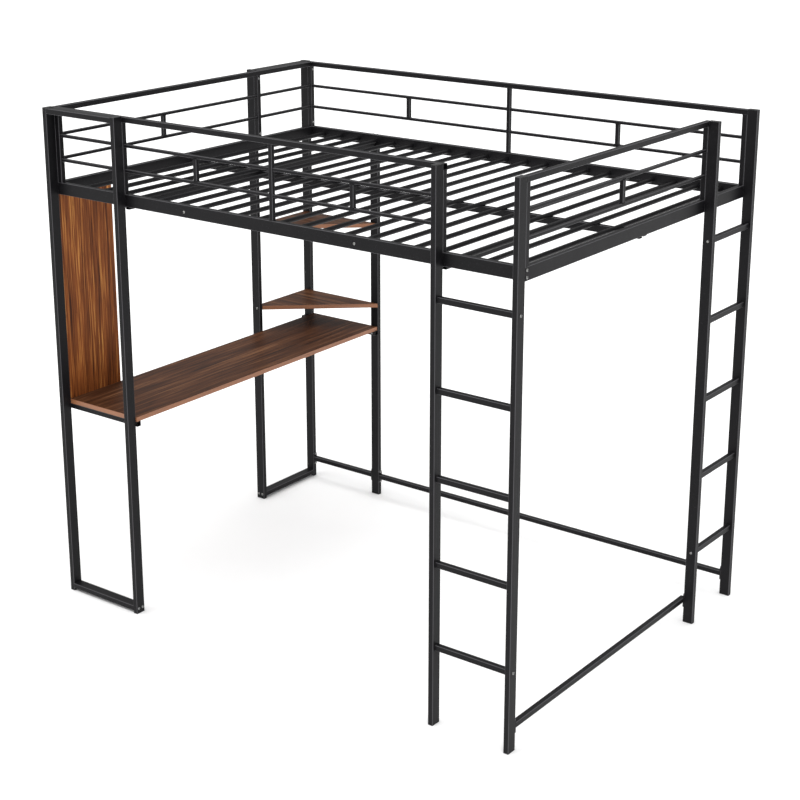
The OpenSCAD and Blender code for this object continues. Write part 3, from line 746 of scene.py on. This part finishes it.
# The button's outline from its underside up: how far in from the rim, and how high, in mm.
HEAD_OUTLINE = ((0.3, 0.0), (0.0, 0.4), (0.6, 1.6), (1.8, 2.6), (2.6, 3.0))
HEAD_SIDES = 18
KEY_ACROSS = 4 * MM
KEY_FLOOR = 1.0 * MM
DRILLED_ACROSS, DRILLED_FLOOR = 1.2 * MM, 0.5 * MM
SHANK_ACROSS = 6 * MM
SHANK_DRAWN = 10 * MM
POINT_ACROSS = 4.8 * MM
POINT_STARTS = 0.93


SIXTH_TURN = math.radians(60)


def turned_ring(radius, level, key=False):
    """A ring of the bolt, round, or six-sided where the key goes in."""
    ring = []
    for i in range(HEAD_SIDES):
        turn = 2 * math.pi * i / HEAD_SIDES
        reach = radius
        if key:
            reach = radius / math.cos(turn % SIXTH_TURN - SIXTH_TURN / 2)
        ring.append((reach * math.cos(turn), reach * math.sin(turn), level))
    return ring


head_mesh = lofted(
    "bolt_head",
    [
        turned_ring(SHANK_ACROSS / 2, 0.0),
        *(turned_ring(HEAD_ACROSS / 2 - inset * MM, level * MM) for inset, level in HEAD_OUTLINE),
        turned_ring(KEY_ACROSS / 2, HEAD_HIGH, key=True),
        turned_ring(KEY_ACROSS / 2, KEY_FLOOR, key=True),
        turned_ring(DRILLED_ACROSS / 2, DRILLED_FLOOR),
    ],
)
shank_mesh = lofted(
    "bolt_shank",
    [
        turned_ring(POINT_ACROSS / 2, -SHANK_DRAWN),
        turned_ring(SHANK_ACROSS / 2, -SHANK_DRAWN * POINT_STARTS),
        turned_ring(SHANK_ACROSS / 2, 0.0),
    ],
)
# A corner further than this from a bolt's middle line is on its head.
HEAD_ONLY = 0.6 * SHANK_ACROSS
for node in ("frame_bolts", "guard_bolts", "ladder_bolts", "board_bolts"):
    spots, turns, lengths = [], [], []
    for corners in islands(node):
        lo, hi = corner_box(corners)
        size = hi - lo
        axis = max((X, Y, Z), key=lambda i: abs(size[i] - HEAD_ACROSS))
        centre = (lo + hi) / 2
        across = [i for i in (X, Y, Z) if i != axis]
        head_levels = [
            corner[axis]
            for corner in corners
            if math.hypot(*(corner[i] - centre[i] for i in across)) > HEAD_ONLY
        ]
        outward_high = sum(head_levels) / len(head_levels) > centre[axis]
        spot = centre.copy()
        spot[axis] = hi[axis] - HEAD_HIGH if outward_high else lo[axis] + HEAD_HIGH
        facing = Vector((0.0, 0.0, 0.0))
        facing[axis] = 1.0 if outward_high else -1.0
        spots.append(spot)
        turns.append(facing.to_track_quat("Z", "Y").to_euler())
        lengths.append((1.0, 1.0, (size[axis] - HEAD_HIGH) / SHANK_DRAWN))
    heads = set_out_parts(
        node + "_heads", head_mesh, spots, turns, [UNSTRETCHED] * len(spots), zinc
    )
    shanks = set_out_parts(node + "_shanks", shank_mesh, spots, turns, lengths, zinc)
    for piece in (heads, shanks):
        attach(piece, "root")
    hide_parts(node)
    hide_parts(node)


# ---------------------------------------------------------------------------
# Boards. The desk, its side panel and the two shelves are 15 and 16 mm chipboard,
# faced with melamine paper that is printed as walnut, and screwed to the steel.
# Printed melamine walnut: long brown streaks under a satin skin, running up the side
# panel, along the desk and across the shelves. The real pores are 0.3 mm wide, too fine
# to show, so they are drawn at 2.5 mm.
BAND_SHARE = 0.55
VEIN_SHARE = 0.48
TONE_STOPS = (0.39, 0.46, 0.54, 0.61)
PORE_STARTS, PORE_FULL, PORE_INK = 0.60, 0.72, 0.55


def walnut_print(name, grain_axis, tones, gloss_range):
    """Walnut-printed melamine, its grain along one axis and its tones from dark to pale."""
    made, tree = new_material(name)
    place = add(tree, "ShaderNodeTexCoord")

    def streak(across, along, detail, shift):
        """Noise drawn out along the grain, from the real width and length of its streaks."""
        scale = [1 / across] * 3
        scale[grain_axis] = 1 / along
        turned = add(
            tree,
            "ShaderNodeMapping",
            inputs={"Vector": place.outputs["Object"], "Scale": scale, "Location": (shift,) * 3},
        )
        return add(
            tree,
            "ShaderNodeTexNoise",
            inputs={"Vector": turned.outputs[0], "Scale": 1.0, "Detail": detail, "Distortion": 0.6},
        ).outputs["Fac"]

    figure = streak(across=42 * MM, along=900 * MM, detail=2.0, shift=3.7)
    bands = streak(across=13 * MM, along=520 * MM, detail=3.0, shift=11.3)
    veins = streak(across=5.5 * MM, along=240 * MM, detail=3.0, shift=23.9)
    pores = streak(across=2.5 * MM, along=45 * MM, detail=2.0, shift=41.1)
    figure_and_bands = add(
        tree, "ShaderNodeMix", {"data_type": "FLOAT"}, {0: BAND_SHARE, 2: figure, 3: bands}
    )
    print_depth = add(
        tree,
        "ShaderNodeMix",
        {"data_type": "FLOAT"},
        {0: VEIN_SHARE, 2: figure_and_bands.outputs[0], 3: veins},
    )
    ramp = add(tree, "ShaderNodeValToRGB", inputs={"Fac": print_depth.outputs[0]})
    while len(ramp.color_ramp.elements) < len(TONE_STOPS):
        ramp.color_ramp.elements.new(0.5)
    for stop, position, colour in zip(ramp.color_ramp.elements, TONE_STOPS, tones):
        stop.position = position
        stop.color = linear(colour)
    pore_mask = add(
        tree,
        "ShaderNodeMapRange",
        inputs={
            "Value": pores,
            "From Min": PORE_STARTS,
            "From Max": PORE_FULL,
            "To Max": PORE_INK,
        },
    )
    tone = add(
        tree,
        "ShaderNodeMix",
        {"data_type": "RGBA"},
        {0: pore_mask.outputs[0], 6: ramp.outputs[0], 7: linear(tones[0])},
    )
    gloss = add(
        tree,
        "ShaderNodeMapRange",
        inputs={
            "Value": print_depth.outputs[0],
            "To Min": gloss_range[0],
            "To Max": gloss_range[1],
        },
    )
    press = add(
        tree,
        "ShaderNodeBump",
        inputs={"Strength": 0.3, "Distance": 0.15 * MM, "Height": pore_mask.outputs[0]},
    )
    skin = add(
        tree,
        "ShaderNodeBsdfPrincipled",
        inputs={
            "Base Color": tone.outputs[2],
            "Roughness": gloss.outputs[0],
            "IOR": 1.50,
            "Specular IOR Level": 0.12,
            "Normal": press.outputs[0],
        },
    )
    add(tree, "ShaderNodeOutputMaterial", inputs={"Surface": skin.outputs[0]})
    return made


panel_print = walnut_print(
    "walnut_printed_melamine_upright",
    Z,
    ("#34190a", "#653517", "#874b23", "#c08242"),
    (0.38, 0.52),
)
desk_print = walnut_print(
    "walnut_printed_melamine_along_the_desk",
    Y,
    ("#241209", "#3f2415", "#51311e", "#714d34"),
    (0.42, 0.56),
)
shelf_print = walnut_print(
    "walnut_printed_melamine_across_the_shelves",
    X,
    ("#241209", "#412616", "#53331f", "#735037"),
    (0.42, 0.56),
)
frame["nodes"]["side_panel"].data.materials[0] = panel_print
frame["nodes"]["desk_top"].data.materials[0] = desk_print
for name in ("shelf_lower", "shelf_upper"):
    frame["nodes"][name].data.materials[0] = shelf_print

# ---------------------------------------------------------------------------
# Edge bands. A strip of PVC, 1 mm thick, is glued hot round the edges that show and
# trimmed flush. It is printed like the boards but comes out paler and redder.
# Printed PVC: pale flecks drawn out along the strip, with a slight shine.
FLECK_LONG = 160 * MM
FLECK_HIGH = 4 * MM
edge_strip, tree = new_material("walnut_printed_pvc_edge_strip")
place = add(tree, "ShaderNodeTexCoord")
long_way = add(
    tree,
    "ShaderNodeMapping",
    inputs={
        "Vector": place.outputs["Object"],
        "Scale": (1 / FLECK_LONG, 1 / FLECK_LONG, 1 / FLECK_HIGH),
    },
)
fleck = add(
    tree, "ShaderNodeTexNoise", inputs={"Vector": long_way.outputs[0], "Scale": 1.0, "Detail": 3.0}
)
tone = add(
    tree,
    "ShaderNodeMix",
    {"data_type": "RGBA"},
    {0: fleck.outputs["Fac"], 6: linear("#6d4128"), 7: linear("#a8714d")},
)
gloss = add(
    tree,
    "ShaderNodeMapRange",
    inputs={"Value": fleck.outputs["Fac"], "To Min": 0.34, "To Max": 0.48},
)
strip = add(
    tree,
    "ShaderNodeBsdfPrincipled",
    inputs={"Base Color": tone.outputs[2], "Roughness": gloss.outputs[0], "IOR": 1.53},
)
add(tree, "ShaderNodeOutputMaterial", inputs={"Surface": strip.outputs[0]})
frame["nodes"]["edge_bands"].data.materials[0] = edge_strip
